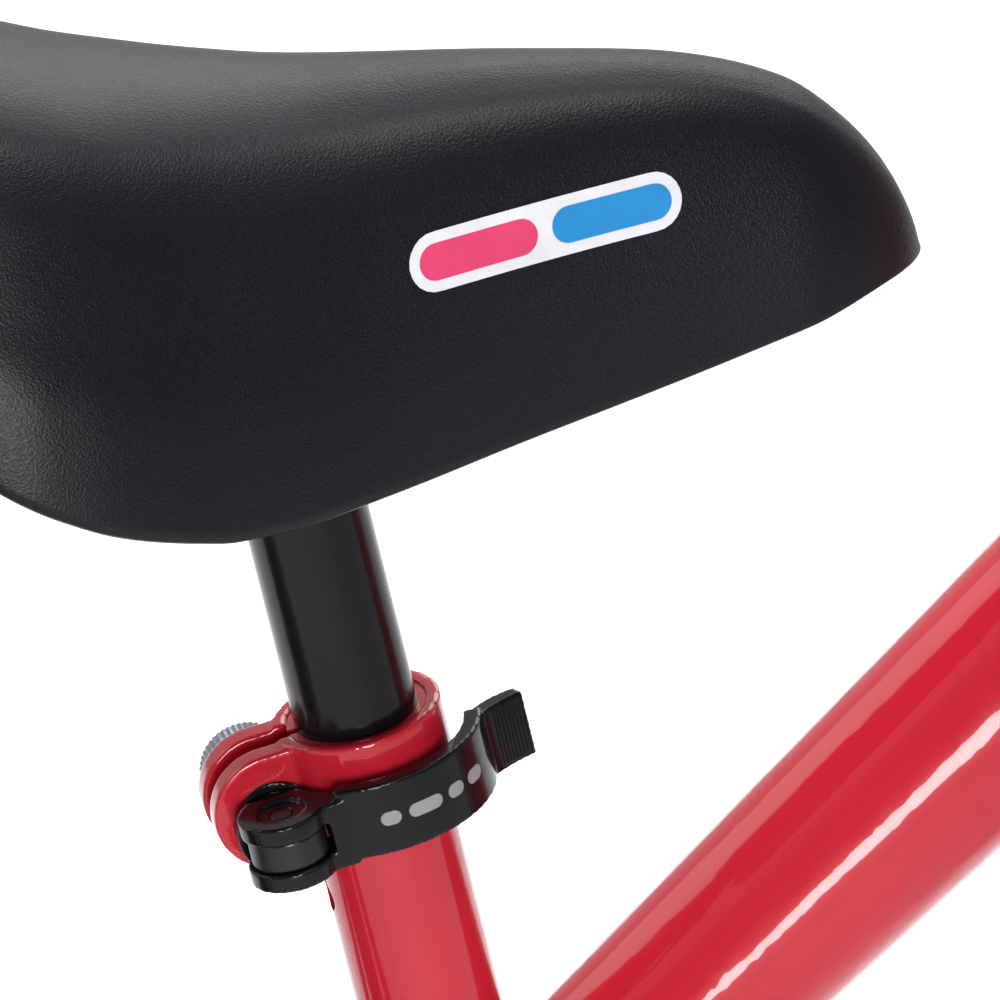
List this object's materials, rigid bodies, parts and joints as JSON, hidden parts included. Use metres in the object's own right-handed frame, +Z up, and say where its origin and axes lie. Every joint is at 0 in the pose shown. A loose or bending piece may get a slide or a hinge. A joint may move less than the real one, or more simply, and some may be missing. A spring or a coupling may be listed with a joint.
{
  "type": "balance bike",
  "caption": "Child's push bike with no pedals: bent single-tube frame, spoked wheels, headset and fork, riser bar, padded saddle on a post held by a cam-lever collar.",
  "frame": {"origin": "on the ground, under the middle of the wheelbase", "axes": "+X forward, +Y to the rider's left, +Z up"},
  "size_m": [0.887, 0.4254, 0.5669],
  "materials": {
    "red_paint": "glossy red enamel under clear coat",
    "black_paint": "black gloss enamel",
    "black_steel": "black oxide, satin",
    "bright_steel": "zinc-plated steel",
    "nut_grey": "blue-grey anodised, knurled",
    "black_alloy": "black anodised",
    "tyre": "matt black moulded rubber",
    "tube_rubber": "smooth butyl",
    "grip_rubber": "matt black ribbed rubber",
    "saddle_skin": "black grained synthetic leather over foam",
    "saddle_plastic": "black moulded shell"
  },
  "bodies": {
    "frame": {"frame_main_tube": "red_paint", "frame_tail_cap": "red_paint", "head_tube": "red_paint", "seat_tube": "red_paint", "chainstay_left": "red_paint", "chainstay_right": "red_paint", "dropout_left": "red_paint", "dropout_right": "red_paint", "clamp_collar": "red_paint", "clamp_skewer": "black_steel", "clamp_washer": "black_paint", "headset_cup_upper": "black_steel", "headset_cup_lower": "black_steel", "rear_axle": "bright_steel", "rear_cones": "bright_steel", "rear_washers": "bright_steel", "rear_nuts": "bright_steel"},
    "fork": {"fork_steerer": "bright_steel", "fork_crown": "red_paint", "fork_leg_left": "red_paint", "fork_leg_right": "red_paint", "fork_tip_left": "red_paint", "fork_tip_right": "red_paint", "crown_race": "black_steel", "headset_top_race": "black_steel", "headset_lock_washer": "black_steel", "headset_locknut": "black_steel", "front_axle": "bright_steel", "front_cones": "bright_steel", "front_washers": "bright_steel", "front_nuts": "bright_steel"},
    "stem": {"stem_quill": "black_paint", "stem_bolt": "bright_steel", "stem_wedge": "bright_steel", "stem_clamp_bolt": "bright_steel"},
    "bar": {"handlebar": "black_paint", "grip_left": "grip_rubber", "grip_right": "grip_rubber"},
    "front_wheel": {"front_tyre": "tyre", "front_inner_tube": "tube_rubber", "front_rim": "black_alloy", "front_spokes": "bright_steel", "front_nipples": "bright_steel", "front_hub": "black_alloy", "front_bearings": "bright_steel"},
    "rear_wheel": {"rear_tyre": "tyre", "rear_inner_tube": "tube_rubber", "rear_rim": "black_alloy", "rear_spokes": "bright_steel", "rear_nipples": "bright_steel", "rear_hub": "black_alloy", "rear_bearings": "bright_steel"},
    "seat": {"seat_post": "black_paint", "saddle_plate": "black_steel", "saddle_base": "saddle_plastic", "saddle_cushion": "saddle_skin", "saddle_screws": "bright_steel"},
    "lever": {"clamp_lever": "black_paint"},
    "nut": {"clamp_nut": "nut_grey"}
  },
  "joints": [
    {"name": "steering", "type": "hinge", "parent": "frame", "child": "fork", "pos_m": [0.17854, 0, 0.37], "axis": [-0.3746, 0, 0.9272], "range_deg": [-75, 75]},
    {"name": "stem_height", "type": "slide", "parent": "fork", "child": "stem", "axis": [-0.3746, 0, 0.9272], "range_m": [-0.008, 0.03]},
    {"name": "bar_tilt", "type": "hinge", "parent": "stem", "child": "bar", "pos_m": [0.17519, 0, 0.47974], "axis": [0, 1, 0], "range_deg": [-20, 20]},
    {"name": "front_wheel_spin", "type": "hinge", "parent": "fork", "child": "front_wheel", "pos_m": [0.295, 0, 0.1485], "axis": [0, 1, 0], "continuous": true},
    {"name": "rear_wheel_spin", "type": "hinge", "parent": "frame", "child": "rear_wheel", "pos_m": [-0.295, 0, 0.1485], "axis": [0, 1, 0], "continuous": true},
    {"name": "saddle_height", "type": "slide", "parent": "frame", "child": "seat", "axis": [-0.225, 0, 0.9744], "range_m": [-0.034, 0.045]},
    {"name": "clamp_lever_open", "type": "hinge", "parent": "frame", "child": "lever", "pos_m": [-0.09702, -0.018, 0.24524], "axis": [0.225, 0, -0.9744], "range_deg": [0, 150]},
    {"name": "clamp_nut_turn", "type": "hinge", "parent": "frame", "child": "nut", "pos_m": [-0.09702, 0.0135, 0.24524], "axis": [0, 1, 0], "continuous": true}
  ]
}
